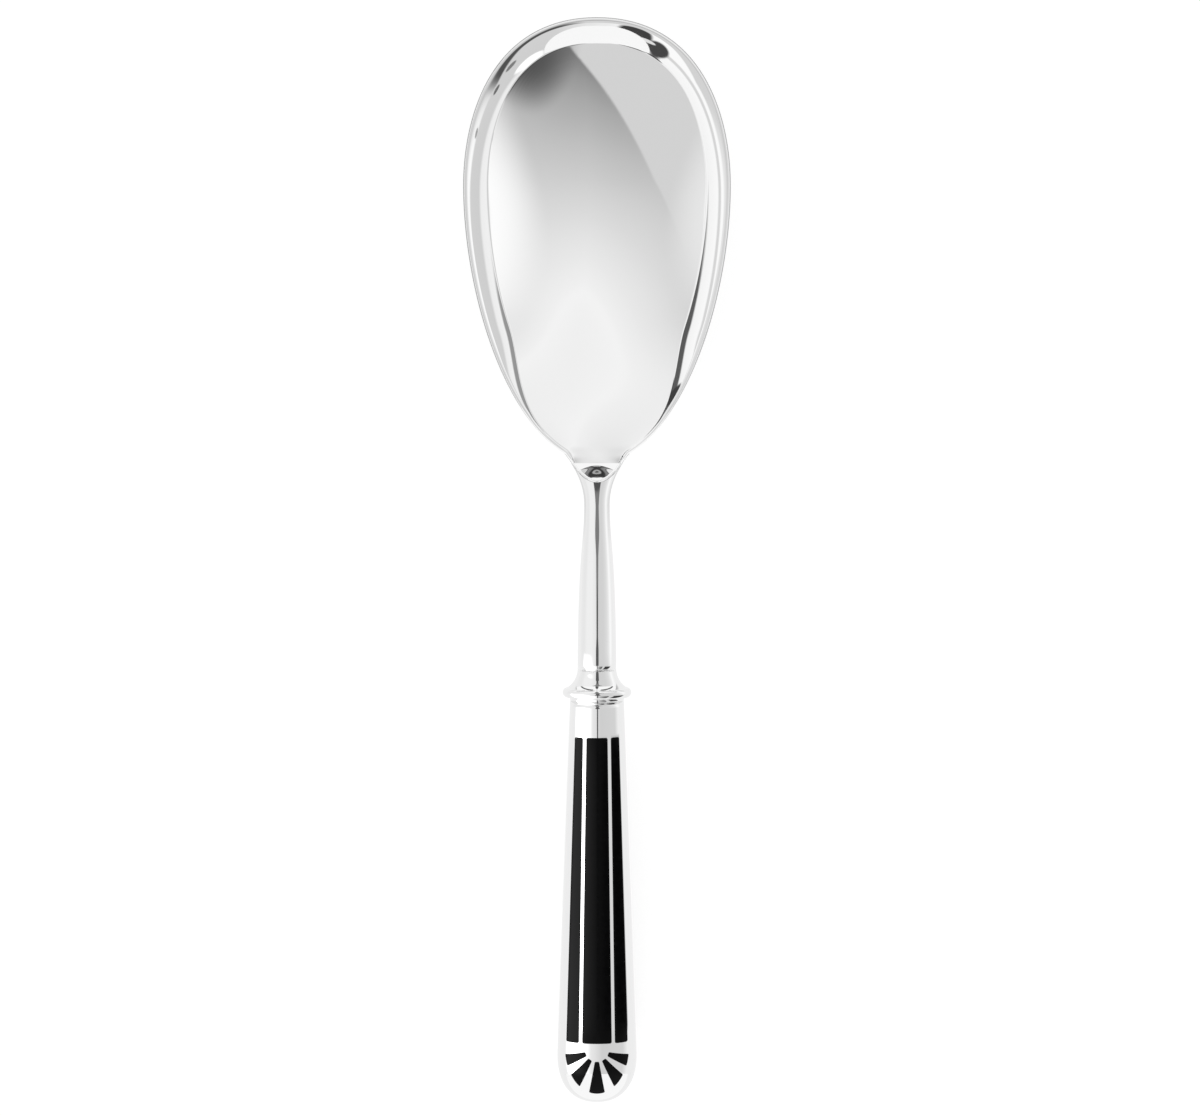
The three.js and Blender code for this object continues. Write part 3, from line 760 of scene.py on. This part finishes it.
def onHandle(x, fromButt, side, inset=0.0):      # points of the front (+1) or back (-1) face
    radius = handleRadius(fromButt, inset)
    z = handle["flatness"] * np.sqrt(np.maximum(radius ** 2 - x ** 2, 0))
    return fromAxis(np.stack([x, buttY + fromButt, side * z], -1))


def slabBody(upper, lower):      # a closed body between two grids of equal size
    rows, columns = upper.shape[:2]
    count = rows * columns
    faces = []
    for j in range(rows - 1):
        for i in range(columns - 1):
            a = j * columns + i
            faces.append((a, a + 1, a + columns + 1, a + columns))
            faces.append((count + a, count + a + columns, count + a + columns + 1, count + a + 1))
    border = list(range(columns)) + [j * columns + columns - 1 for j in range(1, rows)]
    border += [(rows - 1) * columns + i for i in range(columns - 2, -1, -1)]
    border += [j * columns for j in range(rows - 2, 0, -1)]
    for a, b in zip(border, border[1:] + border[:1]):
        faces.append((b, a, count + a, count + b))
    return np.concatenate([upper.reshape(-1, 3), lower.reshape(-1, 3)]), faces


cellGrids = {
    "stripe_left": lambda grow: stripeGrid("left", grow),
    "stripe_centre": lambda grow: stripeGrid("centre", grow),
    "stripe_right": lambda grow: stripeGrid("right", grow),
}
for rayIndex in range(cells["rays"]):
    cellGrids["ray_%d" % (rayIndex + 1)] = lambda grow, index=rayIndex: rayGrid(index, grow)


def handleWhole():      # the plain oval handle, whose normals the cut shells and the lacquer share
    turn = np.linspace(0, 2 * math.pi, handle["wholeSides"], endpoint=False)
    rings = []
    for at in handleStations(0, domeSteps=48, shankSteps=60)[1:]:
        radius = handleRadius(at)
        rings.append(fromAxis(np.stack([radius * np.cos(turn), np.full_like(turn, buttY + at),
                                        handle["flatness"] * radius * np.sin(turn)], 1)))
    points, faces = closedLoft(rings)
    points[-2] = fromAxis(np.array([0, buttY, 0]))
    return points, faces


def halfShell(side):      # outside, inside and the seam faces between them
    turn = np.linspace(0, math.pi, handle["shellPoints"])
    grids = []
    for inset in (0, handle["wall"]):
        at = handleStations(inset, domeSteps=40, shankSteps=60)[:, None]
        radius = handleRadius(at, inset)
        radius[0] = 0
        z = handle["flatness"] * radius * np.sin(turn) + handle["seam"] / 2
        points = np.stack([radius * np.cos(turn), buttY + at + 0 * turn, side * z], -1)
        grids.append(fromAxis(points))
    return slabBody(*grids)


def makeHandleFace(face, side, whole):
    shell = makeBody("handle" + face.capitalize(), *halfShell(side))
    pocketPoints, pocketFaces = [], []
    for grid in cellGrids.values():
        x, fromButt = grid(cells["fit"])
        points, faces = slabBody(onHandle(x, fromButt, side, -cells["pocketRise"]),
                                 onHandle(x, fromButt, side, cells["pocketDepth"]))
        base = sum(len(p) for p in pocketPoints)
        pocketPoints.append(points)
        pocketFaces += [tuple(corner + base for corner in f) for f in faces]
    cutAway(shell, makeBody("pockets", np.concatenate(pocketPoints), pocketFaces))
    carryNormals(shell, whole)
    place(shell, "handle_%s_shell" % face, silver)
    for name, grid in cellGrids.items():
        x, fromButt = grid(0)
        top = np.full(x.shape, -cells["proud"])
        top[[0, -1], :] = cells["edgeDip"]
        top[:, [0, -1]] = cells["edgeDip"]
        inlay = makeBody(face + name.title().replace("_", ""),
                         *slabBody(onHandle(x, fromButt, side, top),
                                   onHandle(x, fromButt, side, cells["depth"])))
        carryNormals(inlay, whole)
        place(inlay, "%s_%s" % (face, name), lacquer)
    print("handle", face + ":", len(shell.data.polygons), "faces and", len(cellGrids), "lacquer cells")


oval = makeBody("handleWhole", *handleWhole())
makeHandleFace("front", 1, oval)
makeHandleFace("back", -1, oval)
bpy.data.objects.remove(oval)

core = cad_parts["cement_core"]
core.data.materials.clear()
core.data.materials.append(cement)


# Camera straight above, framed as a picture of 1200 by 1116 pixels
shot = {"width": 1200, "height": 1116, "tipRow": 16.5, "buttRow": 1101.5, "middleColumn": 597,
        "distance": 1000, "sensor": 36}


def addCamera():
    low, high = (np.array(corner) / mm for corner in cadBounds)
    tipSpot = np.array([high[1], bowl["rimTipHeight"]])
    buttSpot = np.array([low[1], handle["flatness"] * handle["buttWidth"] / 2])
    # rows from the middle of the picture fix the focal length and where the camera stands
    tipRun = shot["height"] / 2 - shot["tipRow"]
    buttRun = shot["height"] / 2 - shot["buttRow"]
    tipDepth = shot["distance"] - tipSpot[1]
    buttDepth = shot["distance"] - buttSpot[1]
    system = np.array([[tipRun * tipDepth, 1], [buttRun * buttDepth, 1]])
    pixelSize, standY = np.linalg.solve(system, [tipSpot[0], buttSpot[0]])
    pixelFocus = 1 / pixelSize
    standX = (shot["width"] / 2 - shot["middleColumn"]) * pixelSize * shot["distance"]
    data = bpy.data.cameras.new("camera")
    data.sensor_width = shot["sensor"]
    data.sensor_fit = "HORIZONTAL"
    data.lens = pixelFocus / shot["width"] * shot["sensor"]
    camera = bpy.data.objects.new("camera", data)
    camera.location = Vector((standX, standY, shot["distance"])) * mm
    bpy.context.scene.collection.objects.link(camera)
    bpy.context.scene.camera = camera
    print("camera: lens", round(data.lens, 2), "mm at", [round(c, 4) for c in camera.location])


addCamera()


# Studio: a glowing white floor and a sky shaded by direction,
# with a canopy and an underlay that show only in reflections
studio = {
    "floorSize": 20000, "floorColour": "#ffffff", "floorReturn": 0.35, "floorGlow": 0.8,
    "floorRoughness": 0.9,
    "underlaySize": 3000, "underlayHeight": 0.02,
    "underlayLevels": [(-150, 0.95), (5, 0.95), (30, 0.5), (150, 0.5)],
    "skyColour": "#ffffff",
    "skyGain": 1.12,      # makes up for what the plate swallows
    "lengthwise": [(-0.6, 0.15), (-0.454, 0.314), (-0.342, 0.397), (-0.105, 0.521), (0.139, 0.623),
                   (0.375, 0.708), (0.588, 0.812), (0.67, 0.87), (0.69, 0.9), (0.78, 0.85), (1.0, 0.84)],
    "lengthwiseTilt": 0.3, "tiltUpTo": 0.1,      # turns the shading, on the left only
    "card": 0.645, "cardEdge": (0.646, 0.669, 0.369), "cardSoftness": 0.012,
    # glows and shadows: direction, the cosines between which each sets in, and its level
    "patches": [((0.95, 0.31, 0.0), 0.56, 0.93, 1.0), ((-0.93, 0.36, 0.0), 0.7, 0.92, 0.8),
                ((0.55, -0.665, 0.505), 0.85, 0.94, 0.08)],
    # rings low round the object, seen in the flange, as levels against the sine of the height
    "ringLeft": [(0.06, 0.1), (0.1, 0.1), (0.125, 0.9), (0.3, 0.95), (0.32, 0.66), (0.355, 0.66),
                 (0.375, 0.96), (0.6, 0.98)],
    "ringRight": [(0.06, 0.3), (0.085, 0.3), (0.105, 0.88), (0.2, 0.85), (0.24, 0.62), (0.6, 0.64)],
    # marks on the rings: azimuth, height, half-length along the ring, half-height and level
    "ringMarks": [(-110, 0.43, 0.19, 0.23, 0.05), (-127, 0.35, 0.15, 0.16, 0.06),
                  (-118, 0.4, 0.11, 0.035, 0.75), (138, 0.1, 0.06, 0.16, 0.05),
                  (-45, 0.25, 0.24, 0.06, 1.05), (-34, 0.42, 0.08, 0.035, 0.2),
                  (-20, 0.38, 0.05, 0.03, 0.15), (-2, 0.45, 0.03, 0.025, 0.35)],
    "markCore": 0.75,      # share of a mark that has its full level
    "ringTop": [(-0.7, 0.58), (-0.35, 0.41)],      # the rings reach higher past the butt
    "ringSoftness": 0.04, "sideBlend": 0.3,
    "canopyRadius": 55, "canopyFrom": -112, "canopyTo": 104, "canopyPoints": 73,
    "canopyStart": 4.8, "canopyOverrun": 16, "canopyEndGlow": 1.05,
    # levels by degrees round the canopy: over the stem, over the handle's plain ends and over its lacquer
    "stemLevels": [(-112, 0.93), (-90, 0.9), (-78, 0.9), (-60, 0.97), (-30, 0.97), (-14, 0.92), (-6, 0.87),
                   (0, 0.8), (6, 0.7), (40, 0.72), (60, 0.8), (75, 0.93), (84, 1.08), (104, 0.95)],
    "handleLevels": [(-112, 0.93), (-90, 0.95), (-84, 1.1), (-78, 3.2), (-44, 3.2), (-34, 2.0), (-26, 1.3),
                     (-14, 0.9), (-6, 0.85), (0, 0.8), (12, 0.69), (66, 0.72), (84, 0.95), (104, 0.95)],
    "lacquerLevels": [(-112, 0.93), (-90, 0.95), (-84, 1.1), (-78, 3.4), (-36, 3.2), (-22, 2.1), (-8, 1.25),
                      (8, 0.55), (22, 0.22), (33, 0.1), (35, 0.75), (47, 0.75), (50, 0.05), (86, 0.05),
                      (90, 0.95), (104, 0.95)],
    "stemReach": [(-54, 0), (-47, 1)], "lacquerReach": [(-145, 0), (-143, 1), (-68.5, 1), (-66.5, 0)],
    # inside of the end towards the bowl: a dark strip by height, left out in the middle of the breadth
    "endStrip": [(4, 1.05), (5, 0.12), (13, 0.12), (15, 1.05)], "endMiddle": [(7, 1.05), (9, 0)],
    "endSplit": -50,      # tells the two ends apart
    # slit of shade along the top of the canopy: half-width in degrees against the distance from the neck
    "slitMiddle": 2, "slitSoftness": 1.2,
    "slitHalf": [(-150, 0), (-144, 0), (-141, 2.2), (-58, 2.6), (-55, 8), (-46, 8), (-42, 5), (-30, 5.5),
                 (-15, 8), (-11, 12), (-8, 17), (-5, 22), (-2.5, 22), (-2, 0), (10, 0)],
    "slitLevels": [(-150, 0.1), (-32, 0.1), (-24, 0.22), (-6.5, 0.22), (-5.5, 0.09), (10, 0.09)],
    # dark rings straight above the neck's dish, as levels by degrees from upright, and how far they cover
    "overheadRings": [(0, 0.1), (1, 0.1), (1.3, 0.45), (2.4, 0.45), (2.8, 0.03), (4.6, 0.05), (5.0, 0.2),
                      (7.4, 0.28), (7.7, 0.05), (9, 0.05)],
    "overheadReach": [(0, 1), (8.1, 1), (8.4, 0), (20, 0)],
}


def addPlane(name, size, height):
    half = size / 2
    points = [(-half, -half, height), (half, -half, height), (half, half, height), (-half, half, height)]
    mesh = bpy.data.meshes.new(name)
    mesh.from_pydata((np.array(points) * mm).tolist(), [], [(0, 1, 2, 3)])
    plane = bpy.data.objects.new(name, mesh)
    bpy.context.scene.collection.objects.link(plane)
    return plane


def onlyReflected(card):      # seen in the plate and nowhere else
    card.visible_camera = False
    card.visible_diffuse = False
    card.visible_shadow = False


def addFloor():
    floor = addPlane("floor", studio["floorSize"], 0)
    finish, tree, _ = newFinish("matteWhitePaper")
    white = hexToLinear(studio["floorColour"])
    paper = [studio["floorReturn"] * part for part in white[:3]] + [1.0]
    shader = addNode(tree, "ShaderNodeBsdfPrincipled",
                     {"Base Color": paper, "Roughness": studio["floorRoughness"], "Specular IOR Level": 0.0,
                      "Emission Color": white, "Emission Strength": studio["floorGlow"]})
    addNode(tree, "ShaderNodeOutputMaterial", {"Surface": shader.outputs["BSDF"]})
    floor.data.materials.append(finish)


def addUnderlay():      # greys that the low edges mirror, so that they stand out from the white floor
    underlay = addPlane("underlay", studio["underlaySize"], studio["underlayHeight"])
    finish, tree, inMm = newFinish("greyCard")
    y = addNode(tree, "ShaderNodeSeparateXYZ", {0: inMm}).outputs["Y"]
    glow = addNode(tree, "ShaderNodeEmission", {"Strength": addRamp(tree, y, studio["underlayLevels"])})
    addNode(tree, "ShaderNodeOutputMaterial", {"Surface": glow.outputs["Emission"]})
    underlay.data.materials.append(finish)
    onlyReflected(underlay)


def addRamp(tree, source, stops):      # a level that follows a value through the given stops
    low, high = stops[0][0], stops[-1][0]
    share = addNode(tree, "ShaderNodeMapRange", {"From Min": low, "From Max": high, "Value": source})
    ramp = addNode(tree, "ShaderNodeValToRGB", {"Fac": share.outputs["Result"]})
    marks = ramp.color_ramp.elements
    while len(marks) < len(stops):
        marks.new(1.0)
    top = max(level for _, level in stops)
    for mark, (at, level) in zip(marks, stops):
        mark.position = (at - low) / (high - low)
        mark.color = [level / top] * 3 + [1.0]
    gained = addNode(tree, "ShaderNodeMath", {"operation": "MULTIPLY", 0: ramp.outputs["Color"], 1: top})
    return gained.outputs[0]


def addPatches(tree, level, toSky, patches):      # lays glows and shadows over a level
    for direction, start, full, patchLevel in patches:
        towards = addNode(tree, "ShaderNodeVectorMath",
                          {"operation": "DOT_PRODUCT", 0: toSky, 1: direction})
        share = addNode(tree, "ShaderNodeMapRange",
                        {"interpolation_type": "SMOOTHSTEP", "From Min": start, "From Max": full,
                         "Value": towards.outputs["Value"]})
        level = addNode(tree, "ShaderNodeMix", {0: share.outputs[0], 2: level, 3: patchLevel}).outputs[0]
    return level


def addMarks(tree, level, toSky, marks):      # lays ellipses stretched along the horizon over a level
    for azimuth, height, halfLength, halfHeight, markLevel in marks:
        turn = math.radians(azimuth)
        run = math.sqrt(1 - height ** 2)
        apart = addNode(tree, "ShaderNodeMapping",
                        {"vector_type": "TEXTURE", "Vector": toSky, "Rotation": (0, 0, turn),
                         "Location": (run * math.cos(turn), run * math.sin(turn), height),
                         "Scale": (1, halfLength, halfHeight)})
        far = addNode(tree, "ShaderNodeVectorMath", {"operation": "LENGTH", 0: apart.outputs[0]})
        share = addNode(tree, "ShaderNodeMapRange",
                        {"interpolation_type": "SMOOTHSTEP", "From Min": 1.0,
                         "From Max": studio["markCore"], "Value": far.outputs["Value"]})
        level = addNode(tree, "ShaderNodeMix", {0: share.outputs[0], 2: level, 3: markLevel}).outputs[0]
    return level


def addSky():
    world = bpy.data.worlds.new("studio")
    bpy.context.scene.world = world
    world.use_nodes = True
    tree = world.node_tree
    tree.nodes.clear()
    toSky = addNode(tree, "ShaderNodeTexCoord").outputs["Generated"]
    x, y, z = addNode(tree, "ShaderNodeSeparateXYZ", {0: toSky}).outputs
    leftOnly = addNode(tree, "ShaderNodeMath", {"operation": "MINIMUM", 0: x, 1: studio["tiltUpTo"]})
    tilted = addNode(tree, "ShaderNodeMath",
                     {"operation": "MULTIPLY_ADD", 0: leftOnly.outputs[0],
                      1: studio["lengthwiseTilt"], 2: y})
    level = addRamp(tree, tilted.outputs[0], studio["lengthwise"])
    overEdge = addNode(tree, "ShaderNodeVectorMath",
                       {"operation": "DOT_PRODUCT", 0: toSky, 1: studio["cardEdge"]})
    onCard = addNode(tree, "ShaderNodeMapRange",
                     {"interpolation_type": "SMOOTHSTEP", "From Min": studio["cardSoftness"],
                      "From Max": -studio["cardSoftness"], "Value": overEdge.outputs["Value"]})
    card = addNode(tree, "ShaderNodeMath", {"operation": "MAXIMUM", 0: level, 1: studio["card"]})
    level = addNode(tree, "ShaderNodeMix", {0: onCard.outputs[0], 2: level, 3: card.outputs[0]}).outputs[0]
    level = addPatches(tree, level, toSky, studio["patches"])
    toRight = addNode(tree, "ShaderNodeMapRange",
                      {"From Min": -studio["sideBlend"], "From Max": studio["sideBlend"], "Value": x})
    ring = addNode(tree, "ShaderNodeMix",
                   {0: toRight.outputs[0], 2: addRamp(tree, z, studio["ringLeft"]),
                    3: addRamp(tree, z, studio["ringRight"])})
    overRing = addNode(tree, "ShaderNodeMath",
                       {"operation": "SUBTRACT", 0: z, 1: addRamp(tree, y, studio["ringTop"])})
    above = addNode(tree, "ShaderNodeMapRange",
                    {"interpolation_type": "SMOOTHSTEP", "From Min": 0.0,
                     "From Max": studio["ringSoftness"], "Value": overRing.outputs[0]})
    level = addNode(tree, "ShaderNodeMix", {0: above.outputs[0], 2: ring.outputs[0], 3: level}).outputs[0]
    level = addMarks(tree, level, toSky, studio["ringMarks"])
    strength = addNode(tree, "ShaderNodeMath", {"operation": "MULTIPLY", 0: level, 1: studio["skyGain"]})
    glowing = addNode(tree, "ShaderNodeBackground",
                      {"Color": hexToLinear(studio["skyColour"]), "Strength": strength.outputs[0]})
    addNode(tree, "ShaderNodeOutputWorld", {"Surface": glowing.outputs["Background"]})


def addCanopy():      # shades the stem and the handle lengthwise, white on one side and grey on the other
    turn = np.radians(np.linspace(studio["canopyFrom"], studio["canopyTo"], studio["canopyPoints"]))
    x, z = studio["canopyRadius"] * np.sin(turn), studio["canopyRadius"] * np.cos(turn)
    nearEnd = (studio["canopyStart"] + z * math.sin(lean)) / math.cos(lean)      # upright, towards the bowl
    farEnd = np.full_like(z, buttY - studio["canopyOverrun"])
    points = np.concatenate([np.stack([x, end, z], 1) for end in (nearEnd, farEnd)])
    count = len(turn)
    faces = [(i, i + 1, count + i + 1, count + i) for i in range(count - 1)]
    faces += [tuple(range(count)), tuple(range(2 * count - 1, count - 1, -1))]
    mesh = bpy.data.meshes.new("canopy")
    mesh.from_pydata((points * mm).tolist(), [], faces)
    mesh.materials.append(canopyWall())
    mesh.materials.append(canopyEnd())
    for face in mesh.polygons[-2:]:
        face.material_index = 1
    canopy = bpy.data.objects.new("canopy", mesh)
    canopy.location = Vector((0, neckY, neckHeight)) * mm
    canopy.rotation_euler = (lean, 0, 0)
    bpy.context.scene.collection.objects.link(canopy)
    onlyReflected(canopy)


def addOverheadRings(tree, inMm, level):      # lays the rings above the neck's dish over a level
    dishHeight = bowl["rimNeckHeight"] - bowl["pocketLevel"] - neckHeight
    dish = (0, bowl["dishMiddle"] * math.cos(lean) + dishHeight * math.sin(lean),
            dishHeight * math.cos(lean) - bowl["dishMiddle"] * math.sin(lean))
    apart = addNode(tree, "ShaderNodeVectorMath", {"operation": "SUBTRACT", 0: inMm, 1: dish})
    aim = addNode(tree, "ShaderNodeVectorMath", {"operation": "NORMALIZE", 0: apart.outputs[0]})
    straightUp = (0, math.sin(lean), math.cos(lean))
    upright = addNode(tree, "ShaderNodeVectorMath",
                      {"operation": "DOT_PRODUCT", 0: aim.outputs[0], 1: straightUp})
    angle = addNode(tree, "ShaderNodeMath", {"operation": "ARCCOSINE", 0: upright.outputs["Value"]})
    degrees = addNode(tree, "ShaderNodeMath", {"operation": "DEGREES", 0: angle.outputs[0]})
    rings = addRamp(tree, degrees.outputs[0], studio["overheadRings"])
    share = addRamp(tree, degrees.outputs[0], studio["overheadReach"])
    return addNode(tree, "ShaderNodeMix", {0: share, 2: level, 3: rings}).outputs[0]


def canopyWall():      # levels by the angle round the handle, with the slit and the rings, plain outside
    finish, tree, inMm = newFinish("litCanopy")
    x, y, z = addNode(tree, "ShaderNodeSeparateXYZ", {0: inMm}).outputs
    angle = addNode(tree, "ShaderNodeMath", {"operation": "ARCTAN2", 0: x, 1: z})
    degrees = addNode(tree, "ShaderNodeMath", {"operation": "DEGREES", 0: angle.outputs[0]})
    level = addRamp(tree, degrees.outputs[0], studio["handleLevels"])
    for levels, reach in (("stemLevels", "stemReach"), ("lacquerLevels", "lacquerReach")):
        level = addNode(tree, "ShaderNodeMix",
                        {0: addRamp(tree, y, studio[reach]), 2: level,
                         3: addRamp(tree, degrees.outputs[0], studio[levels])}).outputs[0]
    off = addNode(tree, "ShaderNodeMath",
                  {"operation": "SUBTRACT", 0: degrees.outputs[0], 1: studio["slitMiddle"]})
    away = addNode(tree, "ShaderNodeMath", {"operation": "ABSOLUTE", 0: off.outputs[0]})
    inSlit = addNode(tree, "ShaderNodeMath",
                     {"operation": "SUBTRACT", 0: addRamp(tree, y, studio["slitHalf"]), 1: away.outputs[0]})
    share = addNode(tree, "ShaderNodeMapRange",
                    {"interpolation_type": "SMOOTHSTEP", "From Min": 0.0,
                     "From Max": studio["slitSoftness"], "Value": inSlit.outputs[0]})
    slit = addRamp(tree, y, studio["slitLevels"])
    shaded = addNode(tree, "ShaderNodeMix", {0: share.outputs[0], 2: level, 3: slit})
    ringed = addOverheadRings(tree, inMm, shaded.outputs[0])
    outside = addNode(tree, "ShaderNodeNewGeometry").outputs["Backfacing"]
    ended = addNode(tree, "ShaderNodeMix", {0: outside, 2: ringed, 3: studio["canopyEndGlow"]})
    glow = addNode(tree, "ShaderNodeEmission", {"Strength": ended.outputs[0]})
    addNode(tree, "ShaderNodeOutputMaterial", {"Surface": glow.outputs["Emission"]})
    return finish


def canopyEnd():      # white cards, the one towards the bowl with strips and the rings on its inside
    finish, tree, inMm = newFinish("canopyCard")
    x, y, z = addNode(tree, "ShaderNodeSeparateXYZ", {0: inMm}).outputs
    inside = addNode(tree, "ShaderNodeNewGeometry").outputs["Backfacing"]
    towardsBowl = addNode(tree, "ShaderNodeMath",
                          {"operation": "GREATER_THAN", 0: y, 1: studio["endSplit"]})
    striped = addNode(tree, "ShaderNodeMath",
                      {"operation": "MULTIPLY", 0: towardsBowl.outputs[0], 1: inside})
    breadth = addNode(tree, "ShaderNodeMath", {"operation": "ABSOLUTE", 0: x})
    strip = addNode(tree, "ShaderNodeMath",
                    {"operation": "MAXIMUM", 0: addRamp(tree, breadth.outputs[0], studio["endMiddle"]),
                     1: addRamp(tree, z, studio["endStrip"])})
    marked = addOverheadRings(tree, inMm, strip.outputs[0])
    level = addNode(tree, "ShaderNodeMix",
                    {0: striped.outputs[0], 2: studio["canopyEndGlow"], 3: marked})
    glow = addNode(tree, "ShaderNodeEmission", {"Strength": level.outputs[0]})
    addNode(tree, "ShaderNodeOutputMaterial", {"Surface": glow.outputs["Emission"]})
    return finish


addCanopy()
addFloor()
addUnderlay()
addSky()
bpy.context.scene.view_settings.view_transform = "Standard"
print("studio: canopy, floor, underlay and sky")
